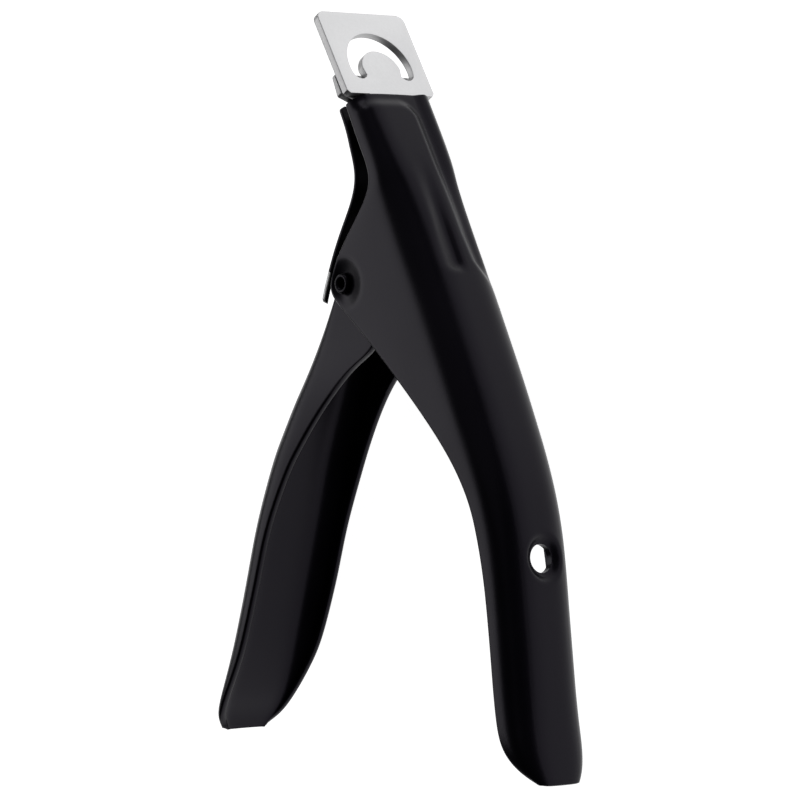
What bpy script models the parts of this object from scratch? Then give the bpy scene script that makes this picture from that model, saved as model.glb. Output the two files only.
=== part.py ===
# Acrylic nail tip cutter: stamped steel body with a crescent head plate, a hinged
# squeeze lever, a sliding blade and a leaf spring that opens the lever again.
#
# Frame: the tool lies on its side. +Y points to the cutting head, +X is the way the
# back (spine) of the body faces, +Z is up. The side that lies down is -Z.
# Profile numbers below are written in millimetres from the top centre of the front
# face of the head plate and moved as a whole by SHIFT, so that the bounding box
# stands centred on the origin with its lowest point at Z = 0.
import bpy
import bmesh
from math import sin, cos, pi, radians, sqrt
from mathutils import Vector, Matrix

MM = 0.001

# ---------------------------------------------------------------- driving sizes
SHIFT = (42.05, 63.25, 9.0)

PLATE_W = 18.0          # head plate width
PLATE_H = 15.75         # head plate height above the neck
PLATE_T = 1.3           # plate thickness
BLADE_T = 1.0           # blade thickness
PLATE_R = 1.5           # plate corner radius
TAIL_HALF = 4.6         # plate tail half width inside the neck
TAIL_END = -31.0

OPEN_R = 6.54           # outer radius of the crescent opening
OPEN_Y = -10.27         # centre height of the opening
ANVIL_R = 3.85          # rounded bump the nail tip rests on
ANVIL_Y = -11.25
LOBE_R = 1.45           # rounded lower ends of the crescent
LOBE_Y = -11.45

GAP = 0.3               # clearance kept between pieces that touch

BLADE_EDGE = -11.4      # rest height of the cutting edge
BLADE_SHOULDER = -15.0
SHANK_HALF = 4.9
SHANK_END = -49.5

SHEET_BODY = 1.0        # body sheet thickness
SHEET_LEVER = 1.2       # lever sheet thickness
LEAF_T = 0.7
LEAF_HALF = 6.2

PIVOT = (-18.4, -39.4)  # hinge of the lever, axis along Z
PIVOT_D = 3.0
CAM_R = 15.8            # pivot to nose of the drive cam
CAM_REST = -17.0        # nose angle at rest, degrees
NOSE_R = 1.5
CAM_HALF = 3.7
SQUEEZE = 34.0          # lever travel, degrees
CAM_RIVET = (-17.6, -45.8)

PIN_D = 3.0
PIN_Y = (-21.8, -28.0)
HANG_D = 4.4
HANG_AT = (-6.7, -95.1, -0.5)

STROKE = 2.0 * CAM_R * sin(radians(SQUEEZE / 2.0))

# Body stations: spine point (x, y), wall edge point (x, y), half width, corner radius
BODY = [
    (1.30, -16.05, -3.10, -16.05, 7.70, 2.6),
    (1.30, -21.8, -3.55, -21.8, 7.70, 2.9),
    (1.28, -26.8, -3.80, -26.8, 7.68, 3.3),
    (1.22, -29.3, -4.50, -29.3, 7.65, 3.6),
    (1.17, -31.0, -6.60, -31.0, 7.62, 4.0),
    (1.12, -32.6, -10.6, -32.6, 7.60, 4.3),
    (1.07, -34.3, -14.9, -34.3, 7.60, 4.5),
    (1.00, -36.0, -18.6, -36.0, 7.60, 4.7),
    (0.92, -37.9, -21.2, -37.9, 7.60, 4.8),
    (0.82, -40.0, -21.6, -40.0, 7.60, 4.9),
    (0.72, -42.1, -20.8, -42.1, 7.60, 5.0),
    (0.58, -44.6, -19.8, -44.6, 7.60, 5.0),
    (0.17, -51.5, -17.3, -51.5, 7.60, 5.0),
    (-0.45, -59.0, -14.9, -59.0, 7.60, 5.0),
    (-1.08, -66.2, -12.9, -65.7, 7.60, 5.0),
    (-1.82, -73.0, -11.3, -72.3, 7.55, 5.0),
    (-2.66, -79.4, -10.5, -78.2, 7.45, 4.9),
    (-3.85, -85.6, -10.7, -83.8, 7.30, 4.8),
    (-5.58, -91.5, -11.7, -89.0, 7.15, 4.7),
    (-7.92, -97.2, -13.7, -94.6, 7.05, 4.6),
    (-10.4, -102.7, -16.2, -100.0, 7.00, 4.6),
    (-12.9, -108.2, -18.7, -105.6, 7.00, 4.6),
    (-15.45, -113.7, -21.2, -111.1, 7.00, 4.5),
    (-17.35, -118.0, -22.9, -115.4, 7.00, 4.3),
    (-18.5, -121.0, -23.6, -118.3, 6.85, 4.0),
    (-19.3, -123.3, -23.5, -120.95, 6.30, 3.5),
    (-20.0, -125.2, -22.9, -123.5, 5.25, 2.5),
    (-20.6, -126.5, -22.1, -125.5, 3.9, 1.2),
]

# Lever stations at rest, same columns
LEVER = [
    (-23.8, -39.3, -15.2, -35.4, 5.60, 2.0),
    (-26.2, -40.0, -13.2, -39.8, 5.60, 2.4),
    (-28.9, -41.1, -13.8, -46.2, 5.60, 2.8),
    (-32.0, -42.5, -18.3, -50.7, 5.60, 3.2),
    (-35.4, -44.3, -25.3, -50.9, 5.80, 3.6),
    (-38.2, -45.9, -30.8, -52.1, 6.30, 4.0),
    (-40.9, -47.5, -35.9, -53.9, 6.95, 4.4),
    (-45.1, -50.2, -40.8, -56.1, 7.60, 4.8),
    (-49.4, -53.2, -45.2, -58.4, 8.15, 5.0),
    (-57.2, -59.8, -53.5, -63.9, 8.60, 4.8),
    (-64.7, -66.7, -61.25, -70.6, 8.65, 4.8),
    (-72.1, -73.4, -69.2, -76.9, 8.45, 4.5),
    (-76.6, -77.1, -74.5, -79.8, 8.00, 3.6),
    (-80.4, -79.9, -78.7, -81.6, 7.50, 2.8),
    (-83.2, -81.5, -81.8, -82.9, 6.75, 2.0),
    (-84.6, -82.7, -83.7, -83.6, 5.80, 1.2),
    (-85.4, -83.4, -84.9, -83.9, 4.30, 0.5),
]

# Outer face of the leaf spring, head end first
LEAF = [(-5.85, -15.2), (-6.10, -18.3), (-6.80, -21.6), (-7.85, -24.8), (-9.50, -27.3),
        (-12.2, -29.3), (-15.4, -31.1), (-18.5, -33.0), (-21.2, -35.1), (-23.8, -37.3),
        (-25.2, -38.7)]

# ---------------------------------------------------------------- helpers
for ob in list(bpy.data.objects):
    bpy.data.objects.remove(ob, do_unlink=True)

scene = bpy.context.scene
tool = bpy.data.collections.new("nail_tip_cutter")
cutters = bpy.data.collections.new("cutters")
scene.collection.children.link(tool)
scene.collection.children.link(cutters)


def at(x, y, z=0.0):
    """Millimetres in the plate frame to metres in the shared frame."""
    return Vector(((x + SHIFT[0]) * MM, (y + SHIFT[1]) * MM, (z + SHIFT[2]) * MM))


def material(name, colour, rough, metal):
    m = bpy.data.materials.new(name)
    m.use_nodes = True
    b = m.node_tree.nodes["Principled BSDF"]
    b.inputs["Base Color"].default_value = (*colour, 1.0)
    b.inputs["Roughness"].default_value = rough
    b.inputs["Metallic"].default_value = metal
    m.diffuse_color = (*colour, 1.0)
    return m


def new_object(name, mesh, group, origin=(0.0, 0.0, 0.0), mat=None):
    ob = bpy.data.objects.new(name, mesh)
    ob.location = origin
    if mat is not None:
        mesh.materials.append(mat)
    group.objects.link(ob)
    return ob


def from_bmesh(name, bm, group, origin, mat=None, smooth_deg=30.0):
    """Store a bmesh given in shared-frame metres as an object with its own origin."""
    bmesh.ops.translate(bm, verts=bm.verts, vec=-Vector(origin))
    bmesh.ops.recalc_face_normals(bm, faces=bm.faces)
    me = bpy.data.meshes.new(name)
    bm.to_mesh(me)
    bm.free()
    if smooth_deg is not None:
        for p in me.polygons:
            p.use_smooth = True
        me.set_sharp_from_angle(angle=radians(smooth_deg))
    return new_object(name, me, group, origin, mat)


def catmull(rows, per):
    """Smooth interpolation through rows of numbers, `per` steps in each interval."""
    out = []
    n = len(rows)
    for i in range(n - 1):
        a = rows[max(i - 1, 0)]
        b = rows[i]
        c = rows[i + 1]
        d = rows[min(i + 2, n - 1)]
        for k in range(per):
            t = k / per
            out.append(tuple(
                0.5 * ((2 * q) + (-p + r) * t + (2 * p - 5 * q + 4 * r - s) * t * t
                       + (-p + 3 * q - 3 * r + s) * t ** 3)
                for p, q, r, s in zip(a, b, c, d)))
    out.append(tuple(rows[-1]))
    return out


def channel_section(row, n_wall, n_arc, n_back, dish=None):
    """One U section of a pressed channel, from the upper wall edge to the lower one."""
    sx, sy, ex, ey, half, rad = row
    depth = sqrt((sx - ex) ** 2 + (sy - ey) ** 2)
    ux, uy = (sx - ex) / depth, (sy - ey) / depth
    rad = min(rad, depth * 0.92, half * 0.92)
    side = []
    for k in range(n_wall):
        side.append((k / n_wall * (depth - rad), half))
    for k in range(n_arc + 1):
        a = 0.5 * pi * k / n_arc
        side.append((depth - rad + rad * sin(a), half - rad + rad * cos(a)))
    flat = half - rad
    back = [(depth, flat - 2.0 * flat * k / n_back) for k in range(1, n_back)]
    path = side + back + [(u, -v) for u, v in reversed(side)]
    pts = []
    for u, v in path:
        x = ex + ux * u
        y = ey + uy * u
        if dish is not None:
            v = dish(x, y, v)
        pts.append(at(x, y, v))
    return pts


def channel(name, rows, n_wall, n_arc, n_back, sheet, origin, mat, dish=None):
    """Pressed sheet channel: outer skin lofted through the stations, then thickened."""
    bm = bmesh.new()
    grid = [[bm.verts.new(p) for p in channel_section(r, n_wall, n_arc, n_back, dish)]
            for r in rows]
    for a, b in zip(grid, grid[1:]):
        for k in range(len(a) - 1):
            bm.faces.new((a[k], b[k], b[k + 1], a[k + 1]))
    ob = from_bmesh(name, bm, tool, origin, mat, 35.0)
    # outward side check: the back of the channel must face away from the wall edges
    me = ob.data
    mid = len(rows) // 2
    sx, sy, ex, ey = rows[mid][:4]
    out = Vector((sx - ex, sy - ey, 0.0))
    face = me.polygons[mid * (len(grid[0]) - 1) + (len(grid[0]) - 1) // 2]
    if face.normal.dot(out) < 0.0:
        me.flip_normals()
    so = ob.modifiers.new("sheet", "SOLIDIFY")
    so.thickness = sheet * MM
    so.offset = -1.0
    so.use_even_offset = True
    so.use_rim = True
    return ob


def plate(name, outline, holes, x0, x1, group, origin, mat, plane="YZ", smooth=30.0):
    """Flat plate from a closed outline and hole loops, filled and extruded.
    plane YZ: loops hold (z, y) and the thickness runs along X from x0 to x1.
    plane XY: loops hold (x, y) and the thickness runs along Z from x0 to x1."""
    cu = bpy.data.curves.new(name + "_outline", "CURVE")
    cu.dimensions = "2D"
    cu.fill_mode = "BOTH"
    cu.extrude = abs(x1 - x0) * 0.5 * MM
    for loop in [outline] + list(holes):
        sp = cu.splines.new("POLY")
        sp.points.add(len(loop) - 1)
        for k, (a, b) in enumerate(loop):
            sp.points[k].co = (a * MM, b * MM, 0.0, 1.0)
        sp.use_cyclic_u = True
    tmp = bpy.data.objects.new(name + "_outline", cu)
    group.objects.link(tmp)
    dg = bpy.context.evaluated_depsgraph_get()
    me = bpy.data.meshes.new_from_object(tmp.evaluated_get(dg))
    bpy.data.objects.remove(tmp, do_unlink=True)
    bm = bmesh.new()
    bm.from_mesh(me)
    bpy.data.meshes.remove(me)
    bmesh.ops.remove_doubles(bm, verts=bm.verts, dist=1e-6)
    mid = 0.5 * (x0 + x1)
    for v in bm.verts:
        a, b, c = v.co
        if plane == "YZ":
            v.co = Vector(((mid + SHIFT[0]) * MM + c, SHIFT[1] * MM + b, SHIFT[2] * MM + a))
        else:
            v.co = Vector((SHIFT[0] * MM + a, SHIFT[1] * MM + b, (mid + SHIFT[2]) * MM + c))
    return from_bmesh(name, bm, group, origin, mat, smooth)


def arc(cx, cy, r, a0, a1, n):
    return [(cx + r * cos(radians(a0 + (a1 - a0) * k / n)),
             cy + r * sin(radians(a0 + (a1 - a0) * k / n))) for k in range(n + 1)]


def circle(cx, cy, r, n):
    return [(cx + r * cos(2 * pi * k / n), cy + r * sin(2 * pi * k / n)) for k in range(n)]


def rounded_rect(x0, y0, x1, y1, r, n=4):
    return (arc(x1 - r, y1 - r, r, 0, 90, n) + arc(x0 + r, y1 - r, r, 90, 180, n)
            + arc(x0 + r, y0 + r, r, 180, 270, n) + arc(x1 - r, y0 + r, r, 270, 360, n))


def turned(name, profile, axis, origin, group, mat, steps=28, smooth=30.0):
    """Turned piece: (radius, height) profile in mm spun round `axis` through `origin`.
    The profile runs down its outer side from top to bottom and back up the bore."""
    bm = bmesh.new()
    closed = profile[0][0] > 1e-9
    rings = []
    for r, h in profile:
        if r < 1e-9:
            rings.append([bm.verts.new((0.0, 0.0, h * MM))])
        else:
            rings.append([bm.verts.new((r * MM * cos(2 * pi * k / steps),
                                        r * MM * sin(2 * pi * k / steps), h * MM))
                          for k in range(steps)])
    pairs = list(zip(rings, rings[1:]))
    if closed:
        pairs.append((rings[-1], rings[0]))
    for a, b in pairs:
        for k in range(steps):
            j = (k + 1) % steps
            if len(a) == 1:
                bm.faces.new((a[0], b[k], b[j]))
            elif len(b) == 1:
                bm.faces.new((a[k], b[0], a[j]))
            else:
                bm.faces.new((a[k], b[k], b[j], a[j]))
    turn = {"Z": Matrix.Identity(4), "X": Matrix.Rotation(radians(90), 4, "Y")}[axis]
    bmesh.ops.transform(bm, matrix=Matrix.Translation(origin) @ turn, verts=bm.verts)
    return from_bmesh(name, bm, group, origin, mat, smooth)


def drill(target, name, r, centre, direction, length, steps=28):
    """Straight cylindrical cutter taken out of `target`."""
    bm = bmesh.new()
    q = Vector(direction).normalized().to_track_quat("Z", "Y").to_matrix().to_4x4()
    bmesh.ops.create_cone(bm, cap_ends=True, segments=steps, radius1=r * MM, radius2=r * MM,
                          depth=length * MM, matrix=Matrix.Translation(centre) @ q)
    cut = from_bmesh(name, bm, cutters, Vector(centre), None, None)
    cut.hide_render = True
    cut.display_type = "WIRE"
    bo = target.modifiers.new(name, "BOOLEAN")
    bo.operation = "DIFFERENCE"
    bo.solver = "EXACT"
    bo.object = cut
    return cut


# ---------------------------------------------------------------- materials
def black(name):
    return material(name, (0.018, 0.017, 0.024), 0.42, 0.0)


def steel(name, grey=0.62, rough=0.34):
    return material(name, (grey, grey, grey * 1.01), rough, 1.0)


# ---------------------------------------------------------------- body shell
P = at(*PIVOT)


def ear_dish(x, y, v):
    """Shallow round recess pressed into both walls round the pivot rivet."""
    d = sqrt((x - PIVOT[0]) ** 2 + (y - PIVOT[1]) ** 2)
    if d >= 5.2:
        return v
    t = min(1.0, max(0.0, (5.2 - d) / 2.6))
    fall = 0.5 * t * t * (3.0 - 2.0 * t)
    return v - fall if v > 0 else v + fall


body = channel("body_shell", catmull(BODY, 1), 11, 4, 3, SHEET_BODY, at(0, -60), black("body_black"),
               ear_dish)
drill(body, "body_pivot_bore", 0.5 * PIVOT_D + GAP, P, (0, 0, 1), 30.0)
hang_dir = Vector((BODY[20][0] - BODY[18][0], BODY[20][1] - BODY[18][1], 0.0)).normalized()
hang_axis = Vector((-hang_dir.y, hang_dir.x, 0.0))
drill(body, "hang_bore", 0.5 * HANG_D, at(*HANG_AT), hang_axis, 5.0)

# ---------------------------------------------------------------- head plate
hw = 0.5 * PLATE_W
outline = ([(TAIL_HALF, -PLATE_H)] + [(hw - 0.6, -PLATE_H), (hw, -PLATE_H + 0.6)]
           + arc(hw - PLATE_R, -PLATE_R, PLATE_R, 0, 90, 5)
           + arc(-hw + PLATE_R, -PLATE_R, PLATE_R, 90, 180, 5)
           + [(-hw, -PLATE_H + 0.6), (-hw + 0.6, -PLATE_H), (-TAIL_HALF, -PLATE_H)]
           + [(-TAIL_HALF, TAIL_END + 1.0), (-TAIL_HALF + 1.0, TAIL_END),
              (TAIL_HALF - 1.0, TAIL_END), (TAIL_HALF, TAIL_END + 1.0)])

# crescent: outer arc, two rounded lobes, and the half-round anvil between them
lobe_x = OPEN_R - LOBE_R - 0.08
crescent = (arc(lobe_x, LOBE_Y, LOBE_R, -155, -8, 7)
            + arc(0.0, OPEN_Y, OPEN_R, -4, 184, 26)
            + arc(-lobe_x, LOBE_Y, LOBE_R, 188, 335, 7)
            + arc(0.0, ANVIL_Y, ANVIL_R, 174, 6, 14))
pin_holes = [circle(0.0, y, 0.5 * PIN_D + GAP, 20) for y in PIN_Y]
head = plate("head_plate", outline, [crescent] + pin_holes, -PLATE_T, 0.0, tool,
             at(0, 0), steel("plate_steel", 0.66, 0.30))

# ---------------------------------------------------------------- sliding blade
bx1 = -PLATE_T - GAP
bx0 = bx1 - BLADE_T
nose = (PIVOT[0] + CAM_R * cos(radians(CAM_REST)), PIVOT[1] + CAM_R * sin(radians(CAM_REST)))
blade_out = [(SHANK_HALF, SHANK_END + 2.0), (SHANK_HALF, -16.3), (7.2, -16.0),
             (hw - 0.2, BLADE_SHOULDER), (hw, BLADE_SHOULDER + 0.3), (hw, BLADE_EDGE),
             (-hw, BLADE_EDGE), (-hw, BLADE_SHOULDER + 0.3), (-hw + 0.2, BLADE_SHOULDER),
             (-7.2, -16.0), (-SHANK_HALF, -16.3), (-SHANK_HALF, SHANK_END + 2.0),
             (-SHANK_HALF + 2.0, SHANK_END), (SHANK_HALF - 2.0, SHANK_END)]
sw = 0.5 * PIN_D + 0.4
slot = (arc(0.0, PIN_Y[0] + 0.1, sw, 0, 180, 10)
        + arc(0.0, PIN_Y[1] - STROKE - 0.1, sw, 180, 360, 10))
window = rounded_rect(-CAM_HALF - 0.5, nose[1] - NOSE_R - 0.35, CAM_HALF + 0.5,
                      nose[1] + NOSE_R + 0.35, 0.5, 3)
blade = plate("sliding_blade", blade_out, [slot, window], bx0, bx1, tool,
              at(0.5 * (bx0 + bx1), -30.0), steel("blade_steel", 0.60, 0.28))

# ---------------------------------------------------------------- guide block and pins
gx1 = bx0 - GAP
gx0 = gx1 - 1.8
guide = plate("guide_block", rounded_rect(-5.6, -30.6, 5.6, -16.6, 1.0, 4),
              [circle(0.0, y, 0.5 * PIN_D + GAP, 20) for y in PIN_Y], gx0, gx1, tool,
              at(0.5 * (gx0 + gx1), -23.0), steel("guide_steel", 0.30, 0.45))


for tag, y in (("upper", PIN_Y[0]), ("lower", PIN_Y[1])):
    r = 0.5 * PIN_D
    half = 0.5 * (-0.1 - gx0)
    turned("guide_pin_" + tag, [(0, half), (r - 0.2, half), (r, half - 0.2),
                                (r, -half + 0.2), (r - 0.2, -half), (0, -half)],
           "X", at(-0.05 - half, y), tool, steel("pin_steel_" + tag, 0.5, 0.35), 20)

# ---------------------------------------------------------------- leaf spring
leaf_path = catmull(LEAF, 2)
inner = []
for k, (x, y) in enumerate(leaf_path):
    a = leaf_path[max(k - 1, 0)]
    b = leaf_path[min(k + 1, len(leaf_path) - 1)]
    tx, ty = b[0] - a[0], b[1] - a[1]
    n = sqrt(tx * tx + ty * ty)
    inner.append((x - ty / n * LEAF_T, y + tx / n * LEAF_T))

# U-shaped notch that leaves a narrow prong on each side of the tail end
NOTCH_HALF, NOTCH_DEEP = 5.15, 4.6
tail = leaf_path[-1]
notch = plate("leaf_notch", rounded_rect(-NOTCH_HALF, tail[1] - NOTCH_DEEP, NOTCH_HALF,
                                         tail[1] + NOTCH_DEEP, 2.2, 5), [],
              tail[0] - 2.5, tail[0] + 2.5, cutters, at(*tail), None, "YZ", None)
notch.rotation_euler = (0.0, 0.0, radians(-45.0))
notch.hide_render = True
notch.display_type = "WIRE"
leaf = plate("leaf_spring", leaf_path + inner[::-1], [], -LEAF_HALF, LEAF_HALF, tool,
             at(-6.0, -17.4), black("leaf_black"), "XY", 40.0)
LEAF_RIVET_Y = -18.0
bo = leaf.modifiers.new("leaf_notch", "BOOLEAN")
bo.operation = "DIFFERENCE"
bo.solver = "EXACT"
bo.object = notch
drill(leaf, "leaf_rivet_bore", 1.3, at(-6.0, LEAF_RIVET_Y), (1, 0, 0), 4.0, 20)
drill(guide, "leaf_rivet_seat", 1.3, at(gx0, LEAF_RIVET_Y), (1, 0, 0), 2.0, 20)
turned("leaf_rivet", [(0, 0.95), (0.9, 0.82), (1.6, 0.5), (1.9, 0.0), (1.0, 0.0),
                      (1.0, -1.7), (0.8, -1.9), (0, -1.9)],
       "X", at(-6.5, LEAF_RIVET_Y), tool, black("leaf_rivet_black"), 20).rotation_euler = (0, 0, pi)

# ---------------------------------------------------------------- pivot rivet
ph = 7.6 + 0.40
pr = 0.5 * PIVOT_D
pivot = turned("pivot_rivet",
               [(pr - 0.35, ph), (pr + 0.25, ph - 0.05), (pr + 0.45, ph - 0.35), (pr + 0.35, ph - 0.5),
                (pr, ph - 0.5), (pr, -ph + 0.5), (pr + 0.35, -ph + 0.5), (pr + 0.45, -ph + 0.35),
                (pr + 0.25, -ph + 0.05), (pr - 0.35, -ph), (pr - 0.75, -ph + 0.45), (pr - 0.75, ph - 0.45)],
               "Z", P, tool, black("rivet_black"), 24)

# ---------------------------------------------------------------- lever handle
lever = channel("lever_handle", catmull(LEVER, 2), 5, 4, 3, SHEET_LEVER, P, black("lever_black"))
drill(lever, "lever_pivot_bore", pr + GAP, P, (0, 0, 1), 30.0, 24)
drill(lever, "lever_rivet_bore", 1.3, at(*CAM_RIVET), (0, 0, 1), 30.0, 20)

# ---------------------------------------------------------------- drive cam
# Round boss on the pivot, straight-sided arm and a round nose that sits in the
# window of the blade.
px, py = PIVOT
ca = radians(CAM_REST)
boss = 3.9
a0 = CAM_REST + 58.0
LOBE_AT, LOBE_RISE = 88.0, 1.37      # small heel lobe that lifts the leaf spring
rim = []
for k in range(25):
    a = a0 + 150.0 * k / 24
    rr = boss + LOBE_RISE * 2.718281828 ** (-((a - LOBE_AT) / 16.0) ** 2)
    rim.append((px + rr * cos(radians(a)), py + rr * sin(radians(a))))
cam_out = (rim
           + [(px - 3.4, py - 5.6), (px - 1.9, py - 8.3), (px + 1.6, py - 8.8), (px + 4.6, py - 7.6)]
           + arc(nose[0], nose[1], NOSE_R, CAM_REST - 78.0, CAM_REST + 78.0, 10))
cam = plate("drive_cam", cam_out, [circle(px, py, pr + GAP, 24), circle(CAM_RIVET[0], CAM_RIVET[1], 1.3, 20)],
            -CAM_HALF, CAM_HALF, tool, P, steel("cam_steel", 0.35, 0.45), "XY", 30.0)
rh = 6.15
turned("cam_rivet", [(0, rh), (1.2, rh - 0.05), (1.7, rh - 0.28), (1.0, rh - 0.28),
                     (1.0, -rh + 0.28), (1.7, -rh + 0.28), (1.2, -rh + 0.05), (0, -rh)],
       "Z", at(*CAM_RIVET), tool, steel("cam_rivet_steel", 0.45, 0.4), 20)
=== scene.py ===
import bmesh
import bpy
import numpy as np
from math import sin, cos, pi, radians, sqrt
from mathutils import Matrix, Quaternion, Vector


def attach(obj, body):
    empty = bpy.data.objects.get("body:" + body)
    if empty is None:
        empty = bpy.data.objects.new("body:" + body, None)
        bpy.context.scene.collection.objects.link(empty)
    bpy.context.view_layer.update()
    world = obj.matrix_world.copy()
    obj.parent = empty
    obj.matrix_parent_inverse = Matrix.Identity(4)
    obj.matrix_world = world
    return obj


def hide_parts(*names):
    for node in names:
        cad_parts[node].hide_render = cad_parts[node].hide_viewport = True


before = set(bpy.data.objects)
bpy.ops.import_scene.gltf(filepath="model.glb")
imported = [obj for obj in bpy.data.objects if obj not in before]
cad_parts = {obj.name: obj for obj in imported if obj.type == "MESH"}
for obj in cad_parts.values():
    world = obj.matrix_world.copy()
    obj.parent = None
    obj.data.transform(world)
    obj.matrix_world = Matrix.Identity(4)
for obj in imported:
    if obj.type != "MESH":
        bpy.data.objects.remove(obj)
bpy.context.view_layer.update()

# Lengths are written in millimetres from the top centre of the head plate's front
# face, as in the CAD, and moved by SHIFT into the shared frame.
MM = 0.001
SHIFT = np.array([42.05, 63.25, 9.0])

PIVOT = (-18.4, -39.4)
SQUEEZE = 34.0
HANG_AT = (-6.7, -95.1, -0.5)
HANG_R = 2.2
BORE_R = 1.6


def at(x, y, z=0.0):
    return Vector(((x + SHIFT[0]) * MM, (y + SHIFT[1]) * MM, (z + SHIFT[2]) * MM))


# ------------------------------------------------------------------ stations
BODY = [
    (1.29, -16.05, -3.10, -16.05, 7.70, 2.6),
    (1.29, -21.8, -3.55, -21.8, 7.70, 2.9),
    (1.28, -26.8, -3.80, -26.8, 7.68, 3.3),
    (1.22, -29.3, -4.50, -29.3, 7.65, 3.6),
    (1.17, -31.0, -6.60, -31.0, 7.62, 4.0),
    (1.12, -32.6, -10.6, -32.6, 7.60, 4.3),
    (1.07, -34.3, -14.9, -34.3, 7.60, 4.5),
    (1.00, -36.0, -18.6, -36.0, 7.60, 4.7),
    (0.92, -37.9, -21.2, -37.9, 7.60, 4.8),
    (0.82, -40.0, -21.6, -40.0, 7.60, 4.9),
    (0.72, -42.1, -20.8, -42.1, 7.60, 5.0),
    (0.58, -44.6, -19.8, -44.6, 7.60, 5.0),
    (0.17, -51.5, -17.3, -51.5, 7.60, 5.0),
    (-0.45, -59.0, -14.9, -59.0, 7.60, 5.0),
    (-1.08, -66.2, -12.9, -65.7, 7.60, 5.0),
    (-1.82, -73.0, -11.3, -72.3, 7.55, 5.0),
    (-2.66, -79.4, -10.5, -78.2, 7.45, 4.9),
    (-3.85, -85.6, -10.7, -83.8, 7.30, 4.8),
    (-5.58, -91.5, -12.05, -89.2, 7.15, 4.7),
    (-7.92, -97.2, -14.0, -94.8, 7.05, 4.6),
    (-10.4, -102.7, -16.2, -100.0, 7.00, 4.6),
    (-12.9, -108.2, -18.7, -105.6, 7.00, 4.6),
    (-15.45, -113.7, -21.2, -111.1, 7.00, 4.5),
    (-17.35, -118.0, -22.9, -115.4, 7.00, 4.3),
    (-18.5, -121.0, -23.6, -118.3, 6.85, 4.0),
    (-19.3, -123.3, -23.5, -120.95, 6.30, 3.5),
    (-20.0, -125.2, -22.9, -123.5, 5.25, 2.5),
    (-20.6, -126.5, -22.1, -125.5, 3.9, 1.2),
]
LEVER = [
    (-23.8, -39.3, -15.2, -35.4, 5.60, 2.0),
    (-26.2, -40.0, -13.2, -39.8, 5.60, 2.4),
    (-28.9, -41.1, -13.8, -46.2, 5.60, 2.8),
    (-32.0, -42.5, -18.3, -50.7, 5.60, 3.2),
    (-35.4, -44.3, -25.3, -50.9, 5.80, 3.6),
    (-38.2, -45.9, -30.8, -52.1, 6.30, 4.0),
    (-40.9, -47.5, -35.9, -53.9, 6.95, 4.4),
    (-45.1, -50.2, -40.8, -56.1, 7.60, 4.8),
    (-49.4, -53.2, -45.2, -58.4, 8.15, 5.0),
    (-57.2, -59.8, -53.5, -63.9, 8.60, 4.8),
    (-64.7, -66.7, -61.25, -70.6, 8.65, 4.8),
    (-72.1, -73.4, -69.2, -76.9, 8.45, 4.5),
    (-76.6, -77.1, -74.5, -79.8, 8.00, 3.6),
    (-80.4, -79.9, -78.7, -81.6, 7.50, 2.8),
    (-83.2, -81.5, -81.8, -82.9, 6.75, 2.0),
    (-84.6, -82.7, -83.7, -83.6, 5.80, 1.2),
    (-85.4, -83.4, -84.9, -83.9, 4.30, 0.5),
]
LEAF = [(-5.85, -14.8), (-6.10, -18.3), (-6.80, -21.6), (-7.85, -24.8), (-9.50, -27.3),
        (-12.2, -29.3), (-15.4, -31.1), (-18.5, -33.0), (-21.3, -35.0), (-24.0, -37.15),
        (-25.6, -38.6)]


# ------------------------------------------------------------------ number helpers
def catmull(rows, per):
    rows = np.asarray(rows, float)
    n = len(rows)
    out = []
    for i in range(n - 1):
        a, b, c, d = rows[max(i - 1, 0)], rows[i], rows[i + 1], rows[min(i + 2, n - 1)]
        for k in range(per):
            t = k / per
            out.append(0.5 * (2 * b + (c - a) * t + (2 * a - 5 * b + 4 * c - d) * t * t
                              + (-a + 3 * b - 3 * c + d) * t ** 3))
    out.append(rows[-1])
    return np.array(out)


def blur(a, sigma):
    """Gaussian smoothing down axis 0 that keeps both ends where they are."""
    if sigma <= 0:
        return a
    r = int(sigma * 3.5) + 1
    x = np.arange(-r, r + 1)
    w = np.exp(-0.5 * (x / sigma) ** 2)
    w /= w.sum()
    head = 2 * a[:1] - a[1:r + 1][::-1]
    tail = 2 * a[-1:] - a[-r - 1:-1][::-1]
    p = np.concatenate([head, a, tail])
    out = np.zeros_like(a)
    for k in range(2 * r + 1):
        out += w[k] * p[k:k + len(a)]
    return out


def resample(a, where, step):
    """Rows of `a` at even spacing of the running length `where`."""
    n = max(int(round(where[-1] / step)), 2)
    s = np.linspace(0, where[-1], n + 1)
    return np.stack([np.interp(s, where, a[:, k]) for k in range(a.shape[1])], 1)


def dense(stations, step, sigma):
    a = catmull(stations, 16)
    d = (np.hypot(*np.diff(a[:, 0:2], axis=0).T) + np.hypot(*np.diff(a[:, 2:4], axis=0).T)) / 2
    where = np.concatenate([[0], np.cumsum(d)])
    return blur(resample(a, where, step), sigma / step)


def smoothstep(t):
    t = np.clip(t, 0.0, 1.0)
    return t * t * (3 - 2 * t)


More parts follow.
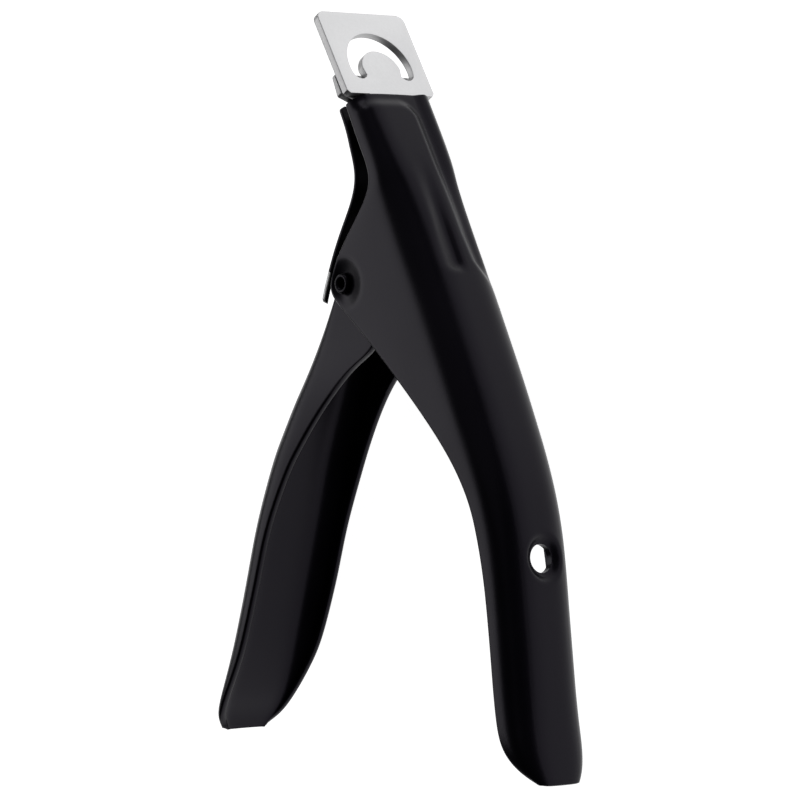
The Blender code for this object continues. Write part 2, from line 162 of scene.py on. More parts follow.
def section(row, n, crown_back, crown_wall):
    """(u, v) points of one U section, from the near wall's free edge to the far one."""
    sx, sy, ex, ey, half, rad = row
    depth = sqrt((sx - ex) ** 2 + (sy - ey) ** 2)
    rad = min(rad, depth * 0.94, half * 0.94)
    a = np.linspace(0, pi / 2, 24)
    wall = np.stack([np.linspace(0, depth - rad, 30)[:-1], np.full(29, half)], 1)
    turn = np.stack([depth - rad + rad * np.sin(a), half - rad + rad * np.cos(a)], 1)
    flat = half - rad
    back = np.stack([np.full(30, depth), np.linspace(flat, -flat, 32)[1:-1]], 1)
    side = np.concatenate([wall, turn])
    p = np.concatenate([side, back, side[::-1] * [1, -1]])
    d = np.concatenate([[0], np.cumsum(np.hypot(*np.diff(p, axis=0).T))])
    q = resample(p, d, d[-1] / 160)
    q = blur(q, 0.9 / (d[-1] / 160))
    s = np.linspace(0, 1, len(q))
    d = np.concatenate([[0], np.cumsum(np.hypot(*np.diff(q, axis=0).T))])
    q = resample(q, d, d[-1] / (n - 1))[:n]
    # slight crown, as pressed sheet has
    q[:, 0] -= crown_back * np.clip((q[:, 1] / half) ** 2, 0, 1) * smoothstep(q[:, 0] / depth)
    w = np.clip(q[:, 0] / max(depth, 1e-6), 0, 1)
    q[:, 1] += np.sign(q[:, 1]) * crown_wall * 4 * w * (1 - w) * (np.abs(q[:, 1]) > 0.6 * half)
    q[:, 0] = 0.42 + q[:, 0] * (depth - 0.42) / depth
    return q, depth


def pressed_sheet(name, stations, n, step, sigma, sheet, shape, crown_back=0.25, crown_wall=0.12,
                  edge=5):
    """Closed mesh of a pressed channel with rounded sheet edges.
    `shape` moves the outer skin's points: it gets and returns x, y, v arrays in mm."""
    rows = dense(stations, step, sigma)
    outer = np.zeros((len(rows), n, 3))
    for i, row in enumerate(rows):
        q, depth = section(row, n, crown_back, crown_wall)
        sx, sy, ex, ey = row[:4]
        ux, uy = (sx - ex) / depth, (sy - ey) / depth
        outer[i, :, 0] = ex + ux * q[:, 0]
        outer[i, :, 1] = ey + uy * q[:, 0]
        outer[i, :, 2] = q[:, 1]
    # skin normals before and after shaping
    def normals(g):
        gi = np.gradient(g, axis=0)
        gj = np.gradient(g, axis=1)
        m = np.cross(gj, gi)
        m /= np.maximum(np.linalg.norm(m, axis=2, keepdims=True), 1e-9)
        return m
    m = normals(outer)
    mid = m[len(rows) // 2, n // 2]
    row = rows[len(rows) // 2]
    if mid[0] * (row[0] - row[2]) + mid[1] * (row[1] - row[3]) < 0:
        m = -m
        flip = -1
    else:
        flip = 1
    push = shape(outer)
    keep = ((1.0 - smoothstep((np.abs(outer[..., 2]) - 5.0) / 1.8))
            * smoothstep((outer[..., 1] + 56.0) / 4.0))
    outer = outer + m * push[..., None]
    m = flip * normals(outer)
    thick = sheet + 0.90 * push * keep
    inner = outer - m * thick[..., None]
    # loops round each row: outer skin, far edge, inner skin, near edge
    def lip(i, j, jn):
        o, q, nn = outer[i, j], inner[i, j], m[i, j]
        t = outer[i, j] - outer[i, jn]
        t /= max(np.linalg.norm(t), 1e-9)
        c = (o + q) / 2
        h = sheet / 2
        th = np.linspace(0, pi, edge + 2)[1:-1]
        return [c + h * (np.sign(cos(a)) * abs(cos(a)) ** 0.8 * nn) + 0.40 * sin(a) ** 0.8 * t
                for a in th]
    verts = []
    size = 2 * n + 2 * edge
    for i in range(len(rows)):
        far = lip(i, n - 1, n - 2)
        near = lip(i, 0, 1)
        verts.extend(outer[i])
        verts.extend(far)
        verts.extend(inner[i][::-1])
        verts.extend(near[::-1])
    # chamfer rows at both open ends
    verts = np.array(verts).reshape(len(rows), size, 3)

    def ring(i, step_to):
        along = verts[i] - verts[step_to]
        c = verts[i].copy()
        half = n
        mid_line = np.zeros_like(c)
        o = verts[i, :n]
        q = verts[i, n + edge:2 * n + edge][::-1]
        mm = (o + q) / 2
        mid_line[:n] = mm
        mid_line[n + edge:2 * n + edge] = mm[::-1]
        mid_line[n:n + edge] = mm[-1]
        mid_line[2 * n + edge:] = mm[0]
        along = along / np.maximum(np.linalg.norm(along, axis=1, keepdims=True), 1e-9)
        verts[i] -= along * 0.12
        return c + (mid_line - c) * 0.34
    first, last = ring(0, 1), ring(len(rows) - 1, len(rows) - 2)
    verts = np.concatenate([first[None], verts, last[None]])
    total = len(verts)
    pts = verts.reshape(-1, 3)
    faces = []
    for i in range(total - 1):
        a = i * size
        b = a + size
        for k in range(size):
            l = (k + 1) % size
            faces.append((a + k, b + k, b + l, a + l))
    for i, rev in ((0, False), (total - 1, True)):
        a = i * size
        for j in range(n - 1):
            o0, o1 = a + j, a + j + 1
            q0, q1 = a + 2 * n + edge - 1 - j, a + 2 * n + edge - 2 - j
            f = (o0, o1, q1, q0)
            faces.append(f[::-1] if rev else f)
        far = [a + n - 1] + [a + n + k for k in range(edge)] + [a + n + edge]
        near = [a + 2 * n + edge - 1] + [a + 2 * n + edge + k for k in range(edge)] + [a]
        faces.append(tuple(far[::-1] if rev else far))
        faces.append(tuple(near[::-1] if rev else near))
    me = bpy.data.meshes.new(name)
    me.from_pydata(((pts + SHIFT) * MM).tolist(), [], faces)
    me.update()
    bm = bmesh.new()
    bm.from_mesh(me)
    bmesh.ops.remove_doubles(bm, verts=bm.verts, dist=1e-6)
    bmesh.ops.recalc_face_normals(bm, faces=bm.faces)
    bm.to_mesh(me)
    bm.free()
    ob = bpy.data.objects.new(name, me)
    bpy.context.scene.collection.objects.link(ob)
    return ob


def shade(ob, deg=40.0):
    for p in ob.data.polygons:
        p.use_smooth = True
    ob.data.set_sharp_from_angle(angle=radians(deg))


def apply_modifiers(ob):
    dg = bpy.context.evaluated_depsgraph_get()
    me = bpy.data.meshes.new_from_object(ob.evaluated_get(dg))
    ob.modifiers.clear()
    old = ob.data
    ob.data = me
    bpy.data.meshes.remove(old)


def edge_slot(ob, mat):
    """Second material on every face that does not look along X."""
    ob.data.materials.append(mat)
    for p in ob.data.polygons:
        p.material_index = 0 if abs(p.normal.x) > 0.6 else 1


def bore(ob, r, centre, direction, length, steps=72):
    """Straight hole through a finished mesh."""
    bm = bmesh.new()
    q = Vector(direction).normalized().to_track_quat("Z", "Y").to_matrix().to_4x4()
    bmesh.ops.create_cone(bm, cap_ends=True, segments=steps, radius1=r * MM, radius2=r * MM,
                          depth=length * MM, matrix=Matrix.Translation(centre) @ q)
    me = bpy.data.meshes.new("bore")
    bm.to_mesh(me)
    bm.free()
    cut = bpy.data.objects.new("bore", me)
    bpy.context.scene.collection.objects.link(cut)
    bo = ob.modifiers.new("bore", "BOOLEAN")
    bo.operation = "DIFFERENCE"
    bo.solver = "EXACT"
    bo.object = cut
    apply_modifiers(ob)
    bpy.data.objects.remove(cut, do_unlink=True)
    bpy.data.meshes.remove(me)


# ------------------------------------------------------------------ materials
def nodes_of(name):
    m = bpy.data.materials.new(name)
    m.use_nodes = True
    t = m.node_tree
    return m, t, t.nodes["Principled BSDF"]


def add(t, kind, **values):
    n = t.nodes.new(kind)
    for k, v in values.items():
        if k in n.inputs:
            n.inputs[k].default_value = v
        else:
            setattr(n, k, v)
    return n


def ramp(t, source, stops):
    r = t.nodes.new("ShaderNodeValToRGB")
    while len(r.color_ramp.elements) > 1:
        r.color_ramp.elements.remove(r.color_ramp.elements[-1])
    for k, (pos, c) in enumerate(stops):
        e = r.color_ramp.elements[0] if k == 0 else r.color_ramp.elements.new(pos)
        e.position = pos
        e.color = (c, c, c, 1.0) if not isinstance(c, tuple) else (*c, 1.0)
    t.links.new(source, r.inputs["Fac"])
    return r.outputs["Color"]


def object_coords(t, scale=(1.0, 1.0, 1.0), rot=(0.0, 0.0, 0.0)):
    c = t.nodes.new("ShaderNodeTexCoord")
    mp = t.nodes.new("ShaderNodeMapping")
    mp.inputs["Scale"].default_value = scale
    mp.inputs["Rotation"].default_value = rot
    t.links.new(c.outputs["Object"], mp.inputs["Vector"])
    return mp.outputs["Vector"]


def black_paint(name, rough=(0.28, 0.35), peel=0.10, tone=1.0):
    """Satin black baked paint: faint orange peel, soft gloss changes."""
    m, t, b = nodes_of(name)
    co = object_coords(t)
    broad = add(t, "ShaderNodeTexNoise", Scale=55.0, Detail=3.0, Roughness=0.5)
    t.links.new(co, broad.inputs["Vector"])
    fine = add(t, "ShaderNodeTexNoise", Scale=1500.0, Detail=2.0, Roughness=0.55)
    t.links.new(co, fine.inputs["Vector"])
    speck = add(t, "ShaderNodeTexNoise", Scale=5200.0, Detail=1.0, Roughness=0.5)
    t.links.new(co, speck.inputs["Vector"])
    col = ramp(t, broad.outputs["Fac"], [(0.30, (0.0024 * tone, 0.0020 * tone, 0.0036 * tone)),
                                         (0.70, (0.0038 * tone, 0.0032 * tone, 0.0056 * tone))])
    mix = t.nodes.new("ShaderNodeMixRGB")
    mix.blend_type = "MULTIPLY"
    mix.inputs["Fac"].default_value = 0.5
    t.links.new(col, mix.inputs["Color1"])
    t.links.new(ramp(t, speck.outputs["Fac"], [(0.35, 0.72), (0.65, 1.0)]), mix.inputs["Color2"])
    t.links.new(mix.outputs["Color"], b.inputs["Base Color"])
    t.links.new(ramp(t, broad.outputs["Fac"], [(0.25, rough[0]), (0.75, rough[1])]), b.inputs["Roughness"])
    b.inputs["Specular IOR Level"].default_value = 0.14
    b.inputs["Specular Tint"].default_value = (0.86, 0.79, 1.0, 1.0)
    bump = add(t, "ShaderNodeBump", Strength=peel, Distance=0.00006)
    t.links.new(fine.outputs["Fac"], bump.inputs["Height"])
    t.links.new(bump.outputs["Normal"], b.inputs["Normal"])
    return m


def satin_steel(name, tone=0.80, rough=(0.30, 0.42), grain=(60.0, 2600.0, 2600.0), strength=0.12):
    """Brushed, lightly blasted steel with fine directional grain and faint handling marks."""
    m, t, b = nodes_of(name)
    co = object_coords(t, grain)
    streak = add(t, "ShaderNodeTexNoise", Scale=1.0, Detail=3.0, Roughness=0.6)
    t.links.new(co, streak.inputs["Vector"])
    co2 = object_coords(t)
    cloud = add(t, "ShaderNodeTexNoise", Scale=140.0, Detail=4.0, Roughness=0.6)
    t.links.new(co2, cloud.inputs["Vector"])
    grit = add(t, "ShaderNodeTexNoise", Scale=3800.0, Detail=2.0, Roughness=0.6)
    t.links.new(co2, grit.inputs["Vector"])
    mix = t.nodes.new("ShaderNodeMixRGB")
    mix.inputs["Fac"].default_value = 0.45
    t.links.new(streak.outputs["Fac"], mix.inputs["Color1"])
    t.links.new(cloud.outputs["Fac"], mix.inputs["Color2"])
    lo, hi = tone * 0.93, min(tone * 1.04, 0.98)
    t.links.new(ramp(t, mix.outputs["Color"], [(0.3, (lo, lo, lo * 1.01)), (0.7, (hi, hi, hi * 1.012))]),
                b.inputs["Base Color"])
    b.inputs["Metallic"].default_value = 1.0
    t.links.new(ramp(t, mix.outputs["Color"], [(0.3, rough[0]), (0.7, rough[1])]), b.inputs["Roughness"])
    bump = add(t, "ShaderNodeBump", Strength=strength, Distance=0.00004)
    mb = t.nodes.new("ShaderNodeMixRGB")
    mb.inputs["Fac"].default_value = 0.4
    t.links.new(streak.outputs["Fac"], mb.inputs["Color1"])
    t.links.new(grit.outputs["Fac"], mb.inputs["Color2"])
    t.links.new(mb.outputs["Color"], bump.inputs["Height"])
    t.links.new(bump.outputs["Normal"], b.inputs["Normal"])
    return m


body_mat = black_paint("satin_black_body")
lever_mat = black_paint("satin_black_lever", (0.28, 0.36))
leaf_mat = black_paint("satin_black_leaf", (0.30, 0.38), 0.08, 0.8)
rivet_mat = black_paint("satin_black_rivet", (0.34, 0.42), 0.06, 0.9)
edge_mat = satin_steel("sheared_edge_steel", 0.44, (0.40, 0.55), (2600.0, 2600.0, 60.0), 0.2)
blade_edge_mat = satin_steel("ground_edge_steel", 0.36, (0.40, 0.55), (2600.0, 2600.0, 60.0), 0.2)
plate_mat = satin_steel("satin_plate_steel", 0.64, (0.34, 0.44))
blade_mat = satin_steel("satin_blade_steel", 0.50, (0.30, 0.42))
inner_mat = satin_steel("plain_inner_steel", 0.45, (0.36, 0.52), (900.0, 900.0, 900.0), 0.2)


# ------------------------------------------------------------------ body shell
HANG_DIR = np.array([BODY[20][0] - BODY[18][0], BODY[20][1] - BODY[18][1]])
HANG_DIR = HANG_DIR / np.linalg.norm(HANG_DIR)
HANG_OUT = np.array([-HANG_DIR[1], HANG_DIR[0]])
if HANG_OUT[0] < 0:
    HANG_OUT = -HANG_OUT


def body_shape(p):
    """Pressings of the body: ear dish, neck groove, drawn-in rim and hang hole lip."""
    x, y, v = p[..., 0], p[..., 1], p[..., 2]
    d = np.zeros_like(x)
    wall = np.abs(v) > 6.9
    dx, dy = x - PIVOT[0], y - PIVOT[1]
    r = np.hypot(dx, dy)
    reach = 4.05 + 0.95 * (0.87 * dx - 0.5 * dy) / np.maximum(r, 0.3)
    cone = 0.2 * np.log1p(np.exp(np.clip((reach - r) / 0.2, -30, 30)))
    d -= np.where(wall, 0.88 * np.minimum(cone / (reach - 1.5), 1.0), 0.0)
    # groove in the back of the neck: a gentle near side, a steep far side, closed low end
    back = x > -1.9
    grow = smoothstep((-27.0 - y) / 16.0) * smoothstep((y + 49.0) / 2.2)
    near = 3.3 + 0.9 * smoothstep((-38.0 - y) / 8.0)
    groove = smoothstep((near - v) / (near - 0.9)) * (1.0 - smoothstep((0.9 - v) / 1.7))
    d -= np.where(back, 0.70 * grow * groove, 0.0)
    # the back is a raised panel: it steps down along the far side and, round a corner, at the rim
    line = np.interp(y, [-50.0, -48.4, -46.6, -41.7, -36.9, -28.8, -22.0, -19.0],
                     [5.4, 4.4, 3.5, 3.05, 3.0, 2.7, 2.8, 2.8])
    a = np.maximum(-v - line + 3.3, 0.0)
    b = np.maximum(y + 17.6 + 3.3, 0.0)
    out = np.hypot(a, b) - 3.3
    step = smoothstep((out + 1.4) / 2.3) * (1.0 - smoothstep((-v - line - 0.9) / 2.4))
    d -= 0.76 * smoothstep((x + 2.2) / 2.6) * smoothstep((y + 52.0) / 6.0) * step
    # lip pressed inward round the hang hole
    ax = (x - HANG_AT[0]) * HANG_DIR[0] + (y - HANG_AT[1]) * HANG_DIR[1]
    r = np.hypot(ax, v - HANG_AT[2])
    out = (x - HANG_AT[0]) * HANG_OUT[0] + (y - HANG_AT[1]) * HANG_OUT[1]
    d -= np.where(out > -2.0, 1.15 * smoothstep((3.9 - r) / 1.7), 0.0)
    return d


body = pressed_sheet("body_shell_fine", BODY, 112, 0.42, 1.1, 1.0, body_shape)
bore(body, BORE_R, at(*PIVOT), (0, 0, 1), 30.0)
bore(body, HANG_R, at(*HANG_AT), (HANG_OUT[0], HANG_OUT[1], 0), 6.0)
shade(body, 42.0)
body.data.materials.clear()
body.data.materials.append(body_mat)
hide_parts("body_shell")
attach(body, "frame")


# ------------------------------------------------------------------ lever handle
def lever_shape(p):
    return np.zeros(p.shape[:2])


lever = pressed_sheet("lever_handle_fine", LEVER, 92, 0.42, 1.5, 1.2, lever_shape, 0.15, 0.10)
bore(lever, BORE_R, at(*PIVOT), (0, 0, 1), 30.0)
shade(lever, 42.0)
lever.data.materials.clear()
lever.data.materials.append(lever_mat)
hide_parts("lever_handle")
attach(lever, "lever")


# ------------------------------------------------------------------ flat pieces
def arc(cx, cy, r, a0, a1, n):
    return [(cx + r * cos(radians(a0 + (a1 - a0) * k / n)),
             cy + r * sin(radians(a0 + (a1 - a0) * k / n))) for k in range(n + 1)]


def circle(cx, cy, r, n):
    return [(cx + r * cos(2 * pi * k / n), cy + r * sin(2 * pi * k / n)) for k in range(n)]


def fillet(loop, radii, n=6):
    """Rounds the corners of a polygon: radii maps a corner's index to its radius."""
    out = []
    c = len(loop)
    for i, p in enumerate(loop):
        r = radii.get(i, 0.0)
        if r <= 0:
            out.append(p)
            continue
        p = np.array(p, float)
        a = np.array(loop[i - 1], float) - p
        b = np.array(loop[(i + 1) % c], float) - p
        a /= np.linalg.norm(a)
        b /= np.linalg.norm(b)
        half = np.arccos(np.clip(a @ b, -1, 1)) / 2
        t = r / np.tan(half)
        mid = (a + b) / np.linalg.norm(a + b)
        o = p + mid * r / sin(half)
        s, e = p + a * t - o, p + b * t - o
        s0, e0 = np.arctan2(s[1], s[0]), np.arctan2(e[1], e[0])
        d = (e0 - s0 + pi) % (2 * pi) - pi
        out += [(o[0] + r * cos(s0 + d * k / n), o[1] + r * sin(s0 + d * k / n)) for k in range(n + 1)]
    return out


def flat_piece(name, outline, holes, lo, hi, plane, edge):
    """Plate filled from a closed outline with holes, thickness lo..hi, edges rounded by `edge` mm."""
    cu = bpy.data.curves.new(name, "CURVE")
    cu.dimensions = "2D"
    cu.fill_mode = "BOTH"
    cu.extrude = (hi - lo) / 2 * MM
    for loop in [outline] + list(holes):
        sp = cu.splines.new("POLY")
        sp.points.add(len(loop) - 1)
        for k, (a, b) in enumerate(loop):
            sp.points[k].co = (a * MM, b * MM, 0, 1)
        sp.use_cyclic_u = True
    tmp = bpy.data.objects.new(name, cu)
    bpy.context.scene.collection.objects.link(tmp)
    me = bpy.data.meshes.new_from_object(tmp.evaluated_get(bpy.context.evaluated_depsgraph_get()))
    bpy.data.objects.remove(tmp, do_unlink=True)
    bm = bmesh.new()
    bm.from_mesh(me)
    bmesh.ops.remove_doubles(bm, verts=bm.verts, dist=2e-6)
    bmesh.ops.dissolve_limit(bm, angle_limit=radians(0.5), verts=bm.verts, edges=bm.edges)
    mid = (lo + hi) / 2
    for v in bm.verts:
        a, b, c = v.co
        if plane == "YZ":
            v.co = ((mid + SHIFT[0]) * MM + c, SHIFT[1] * MM + b, SHIFT[2] * MM + a)
        else:
            v.co = (SHIFT[0] * MM + a, SHIFT[1] * MM + b, (mid + SHIFT[2]) * MM + c)
    bmesh.ops.recalc_face_normals(bm, faces=bm.faces)
    bm.to_mesh(me)
    bm.free()
    ob = bpy.data.objects.new(name, me)
    bpy.context.scene.collection.objects.link(ob)
    if edge > 0:
        be = ob.modifiers.new("edge", "BEVEL")
        be.width = edge * MM
        be.segments = 3
        be.limit_method = "ANGLE"
        be.angle_limit = radians(50)
        be.use_clamp_overlap = False
        be.harden_normals = False
        apply_modifiers(ob)
    return ob


PLATE_W, PLATE_H, PLATE_T, PLATE_R = 18.0, 15.75, 1.3, 1.5
hw = PLATE_W / 2
TOP = -0.3
TAIL_HALF, TAIL_END = 4.6, -31.0
OPEN_R, OPEN_Y = 6.34, -10.55
ANVIL_R, ANVIL_Y = 3.9, -11.45
LOBE_R, LOBE_Y = 1.45, -11.45
lobe_x = OPEN_R - LOBE_R - 0.08
PIN_Y = (-21.8, -28.0)
outline = ([(TAIL_HALF, -PLATE_H), (hw - 0.5, -PLATE_H), (hw, -PLATE_H + 0.5)]
           + arc(hw - PLATE_R, TOP - PLATE_R, PLATE_R, 0, 90, 14)
           + arc(-hw + PLATE_R, TOP - PLATE_R, PLATE_R, 90, 180, 14)
           + [(-hw, -PLATE_H + 0.5), (-hw + 0.5, -PLATE_H), (-TAIL_HALF, -PLATE_H),
              (-TAIL_HALF, TAIL_END + 1.0), (-TAIL_HALF + 1.0, TAIL_END),
              (TAIL_HALF - 1.0, TAIL_END), (TAIL_HALF, TAIL_END + 1.0)])
crescent = (arc(lobe_x, LOBE_Y, LOBE_R, -150, -8, 16)
            + arc(0.0, OPEN_Y, OPEN_R, -4, 184, 72)
            + arc(-lobe_x, LOBE_Y, LOBE_R, 188, 330, 16)
            + arc(0.0, ANVIL_Y, ANVIL_R, 172, 8, 40))
plate = flat_piece("head_plate_fine", outline, [crescent] + [circle(0, y, 1.8, 40) for y in PIN_Y],
                   -PLATE_T, 0.0, "YZ", 0.10)
shade(plate, 35.0)
plate.data.materials.clear()
plate.data.materials.append(plate_mat)
edge_slot(plate, edge_mat)
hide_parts("head_plate")
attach(plate, "frame")

# sliding blade with a ground cutting edge
BX1 = -PLATE_T - 0.14
BX0 = -PLATE_T - 1.3
CAM_R = 15.8
STROKE = 2 * CAM_R * sin(radians(SQUEEZE / 2))
NOSE = (PIVOT[0] + CAM_R * cos(radians(-17.0)), PIVOT[1] + CAM_R * sin(radians(-17.0)))
SH = 4.9
EDGE_Y, SHOULDER = -11.4, -15.0
blade_out = [(SH, -49.5), (SH, -16.3), (7.2, -16.0), (hw, SHOULDER), (hw, EDGE_Y),
             (-hw, EDGE_Y), (-hw, SHOULDER), (-7.2, -16.0), (-SH, -16.3), (-SH, -49.5)]
blade_out = fillet(blade_out, {0: 2.0, 2: 0.8, 3: 0.5, 4: 0.35, 5: 0.35, 6: 0.5, 7: 0.8, 9: 2.0}, 5)
slot_loop = (arc(0.0, PIN_Y[0] + 0.1, 1.9, 0, 180, 20)
             + arc(0.0, PIN_Y[1] - STROKE - 0.1, 1.9, 180, 360, 20))
win = [(4.2, NOSE[1] - 1.85), (4.2, NOSE[1] + 1.85), (-4.2, NOSE[1] + 1.85), (-4.2, NOSE[1] - 1.85)]
window = fillet(win, {0: 0.5, 1: 0.5, 2: 0.5, 3: 0.5}, 6)
blade = flat_piece("sliding_blade_fine", blade_out, [slot_loop, window], BX0, BX1, "YZ", 0.07)
edge_world = (EDGE_Y + SHIFT[1]) * MM
for v in blade.data.vertices:           # grind: the back slopes up to the edge
    up = (v.co.y - (edge_world - 0.0012)) / 0.0012
    if up > 0 and v.co.x < (BX0 + 0.3 + SHIFT[0]) * MM:
        v.co.x += 0.00062 * min(up, 1.0)
shade(blade, 35.0)
blade.data.materials.clear()
blade.data.materials.append(blade_mat)
edge_slot(blade, blade_edge_mat)
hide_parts("sliding_blade")
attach(blade, "blade")

# ------------------------------------------------------------------ leaf spring
path = blur(catmull(LEAF, 10), 3.0)
d = np.concatenate([[0], np.cumsum(np.hypot(*np.diff(path, axis=0).T))])
path = resample(path, d, 0.3)
LEAF_T, LEAF_HALF = 0.7, 6.2
tang = np.gradient(path, axis=0)
tang /= np.linalg.norm(tang, axis=1, keepdims=True)
inw = np.stack([-tang[:, 1], tang[:, 0]], 1)
rim = 0.10
count = len(path)
run = np.linspace(0, 1, count)
dist0 = np.concatenate([[0], np.cumsum(np.hypot(*np.diff(path, axis=0).T))])
dist1 = dist0[-1] - dist0
verts, faces, mats = [], [], []
for i in range(count):
    # rounded corners at both ends of the strip
    full = LEAF_HALF + 0.3 * (1.0 - smoothstep((dist0[i] - 6.0) / 6.0))
    half = full
    for dd, rr in ((dist0[i], 0.7), (dist1[i], 1.0)):
        if dd < rr:
            half = min(half, full - rr + sqrt(max(rr * rr - (rr - dd) ** 2, 0.0)))
    half = max(half, full - 1.9)
    zs = np.concatenate([np.linspace(half - rim, -(half - rim), 15)])
    o = path[i]
    q = path[i] + inw[i] * LEAF_T
    loop = []
    for z in zs:
        loop.append((o[0], o[1], z))
    for f in (0.18, 0.5, 0.82):
        p = o + (q - o) * f
        loop.append((p[0], p[1], -half))
    for z in zs[::-1]:
        loop.append((q[0], q[1], z))
    for f in (0.82, 0.5, 0.18):
        p = o + (q - o) * f
        loop.append((p[0], p[1], half))
    verts += loop
L = 36
for i in range(count - 1):
    for k in range(L):
        l = (k + 1) % L
        faces.append((i * L + k, i * L + l, (i + 1) * L + l, (i + 1) * L + k))
        mats.append(1 if (14 <= k < 18 or k >= 32) and dist1[i] < 5.6 else 0)
for i in (0, count - 1):
    for k in range(14):
        a = i * L
        f = (a + k, a + 32 - k, a + 31 - k, a + k + 1)
        faces.append(f)
        mats.append(1)
    faces.append((i * L + 14, i * L + 18, i * L + 17, i * L + 16, i * L + 15))
    faces.append((i * L + 0, i * L + 35, i * L + 34, i * L + 33, i * L + 32))
    mats += [1, 1]
me = bpy.data.meshes.new("leaf_spring_fine")
me.from_pydata([tuple((np.array(p) + SHIFT) * MM) for p in verts], [], faces)
me.polygons.foreach_set("material_index", mats)
bm = bmesh.new()
bm.from_mesh(me)
bmesh.ops.recalc_face_normals(bm, faces=bm.faces)
bm.to_mesh(me)
bm.free()
leaf = bpy.data.objects.new("leaf_spring_fine", me)
bpy.context.scene.collection.objects.link(leaf)
leaf.data.materials.append(leaf_mat)
leaf.data.materials.append(edge_mat)
bore(leaf, 1.5, at(-6.0, -18.0), (1, 0, 0), 4.0, 40)
NOTCH_HALF, NOTCH_DEEP = 5.4, 4.8
bm = bmesh.new()
bmesh.ops.create_cube(bm, size=1.0, matrix=Matrix.Translation(at(*LEAF[-1])) @ Matrix.Rotation(radians(-45.0), 4, "Z")
                      @ Matrix.Diagonal((5.0 * MM, 2 * NOTCH_DEEP * MM, 2 * NOTCH_HALF * MM, 1.0)))
bmesh.ops.recalc_face_normals(bm, faces=bm.faces)
me = bpy.data.meshes.new("leaf_notch")
bm.to_mesh(me)
bm.free()
cut = bpy.data.objects.new("leaf_notch", me)
bpy.context.scene.collection.objects.link(cut)
bo = leaf.modifiers.new("notch", "BOOLEAN")
bo.operation = "DIFFERENCE"
bo.solver = "EXACT"
bo.object = cut
apply_modifiers(leaf)
bpy.data.objects.remove(cut, do_unlink=True)
bpy.data.meshes.remove(me)
shade(leaf, 40.0)
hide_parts("leaf_spring")
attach(leaf, "leaf")


# ------------------------------------------------------------------ turned pieces
def turned(name, profile, axis, origin, steps=64):
    """(radius, height) profile in mm, spun round an axis; closed on itself."""
    bm = bmesh.new()
    rings = []
    for r, h in profile:
        if r < 1e-9:
            rings.append([bm.verts.new((0, 0, h * MM))])
        else:
            rings.append([bm.verts.new((r * MM * cos(2 * pi * k / steps), r * MM * sin(2 * pi * k / steps), h * MM))
                          for k in range(steps)])
    pairs = list(zip(rings, rings[1:]))
    if profile[0][0] > 1e-9:
        pairs.append((rings[-1], rings[0]))
    for a, b in pairs:
        for k in range(steps):
            j = (k + 1) % steps
            if len(a) == 1:
                bm.faces.new((a[0], b[k], b[j]))
            elif len(b) == 1:
                bm.faces.new((a[k], b[0], a[j]))
            else:
                bm.faces.new((a[k], b[k], b[j], a[j]))
    turn = Matrix.Identity(4) if axis == "Z" else Matrix.Rotation(radians(-90), 4, "Y")
    bmesh.ops.transform(bm, matrix=Matrix.Translation(origin) @ turn, verts=bm.verts)
    bmesh.ops.recalc_face_normals(bm, faces=bm.faces)
    me = bpy.data.meshes.new(name)
    bm.to_mesh(me)
    bm.free()
    ob = bpy.data.objects.new(name, me)
    bpy.context.scene.collection.objects.link(ob)
    return ob


PR, PH = 1.3, 7.75
half_profile = [(0.78, PH - 0.55), (0.86, PH - 0.22), (1.02, PH - 0.06), (1.22, PH), (1.42, PH - 0.06),
                (1.56, PH - 0.20), (1.62, PH - 0.42), (1.58, PH - 0.62), (PR, PH - 0.72)]
low = [(r, -h) for r, h in half_profile][::-1]
rivet = turned("pivot_rivet_fine", half_profile + low, "Z", at(*PIVOT))
shade(rivet, 50.0)
rivet.data.materials.append(rivet_mat)
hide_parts("pivot_rivet")
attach(rivet, "frame")

for name, mat, width in (("guide_block", inner_mat, 0.2), ("guide_pin_upper", inner_mat, 0),
                         ("guide_pin_lower", inner_mat, 0), ("drive_cam", inner_mat, 0.2),
                         ("cam_rivet", inner_mat, 0), ("leaf_rivet", rivet_mat, 0)):
    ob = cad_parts[name]
    ob.data.materials.clear()
    ob.data.materials.append(mat)
    if width:
        be = ob.modifiers.new("edge", "BEVEL")
        be.width = width * MM
        be.segments = 2
        be.limit_method = "ANGLE"
        be.angle_limit = radians(50)

# ------------------------------------------------------------------ floor, light, camera
sc = bpy.context.scene
sc.view_settings.view_transform = "Standard"
sc.view_settings.look = "None"

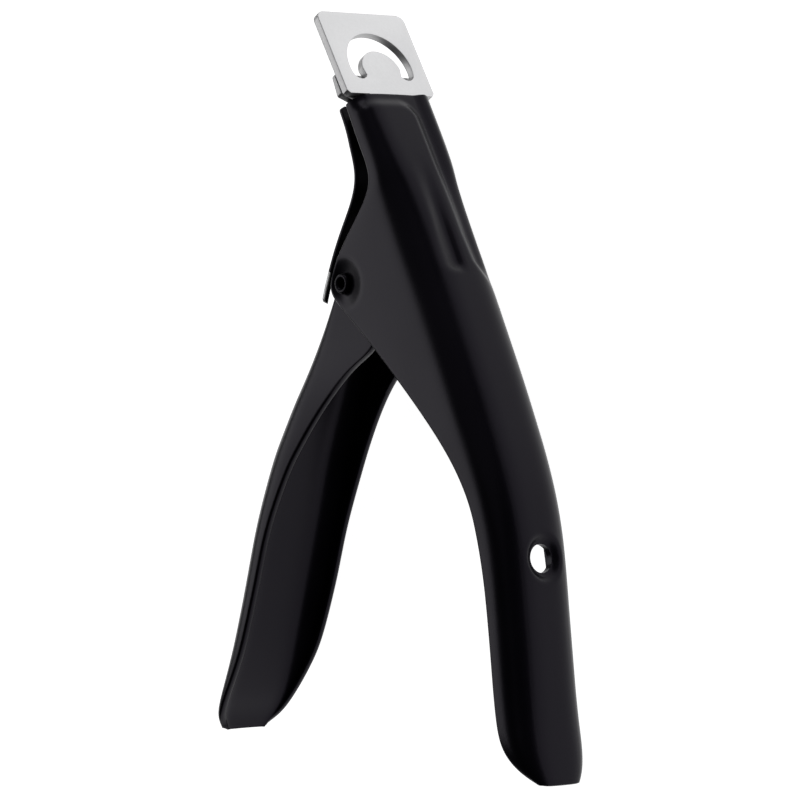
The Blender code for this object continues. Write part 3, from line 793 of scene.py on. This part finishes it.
me = bpy.data.meshes.new("floor")
me.from_pydata([(-3, -3, 0), (3, -3, 0), (3, 3, 0), (-3, 3, 0)], [], [(0, 1, 2, 3)])
floor = bpy.data.objects.new("floor", me)
floor.location = (0, 0, -0.0002)
sc.collection.objects.link(floor)
m, t, b = nodes_of("pale_sweep")
co = object_coords(t)
nz = add(t, "ShaderNodeTexNoise", Scale=9.0, Detail=4.0, Roughness=0.5)
t.links.new(co, nz.inputs["Vector"])
t.links.new(ramp(t, nz.outputs["Fac"], [(0.3, 0.70), (0.7, 0.72)]), b.inputs["Base Color"])
b.inputs["Roughness"].default_value = 0.9
b.inputs["Emission Color"].default_value = (1, 1, 1, 1)
b.inputs["Emission Strength"].default_value = 0.98
me.materials.append(m)

world = bpy.data.worlds.new("studio")
sc.world = world
world.use_nodes = True
bg = world.node_tree.nodes["Background"]
bg.inputs["Color"].default_value = (0.97, 0.98, 1.0, 1)
bg.inputs["Strength"].default_value = 0.02


def softbox(name, direction, dist, sx, sy, power, colour=(1, 1, 1)):
    li = bpy.data.lights.new(name, "AREA")
    li.shape = "RECTANGLE"
    li.size, li.size_y = sx, sy
    li.energy = power
    li.color = colour
    ob = bpy.data.objects.new(name, li)
    d = Vector(direction).normalized()
    ob.location = Vector((0, 0, 0.01)) + d * dist
    ob.rotation_mode = "QUATERNION"
    ob.rotation_quaternion = (-d).to_track_quat("-Z", "Y")
    sc.collection.objects.link(ob)
    return ob


softbox("box_left", (-0.60, 0.53, 0.63), 1.0, 0.75, 0.62, 3.0)
softbox("box_top", (0.50, 0.42, 0.76), 1.0, 1.3, 1.1, 0.8)
softbox("box_head", (0.45, 0.85, 0.28), 1.0, 0.5, 0.3, 1.2)

cam_data = bpy.data.cameras.new("camera")
cam = bpy.data.objects.new("camera", cam_data)
sc.collection.objects.link(cam)
cam_data.sensor_width = 36.0
cam_data.lens = 186.525
cam_data.clip_start, cam_data.clip_end = 0.05, 20.0
cam.location = (0.4461511, -0.2395032, 0.4341397)
cam.rotation_mode = "QUATERNION"
cam.rotation_quaternion = (0.87670514, 0.10391574, 0.40313962, -0.24097316)
sc.camera = cam
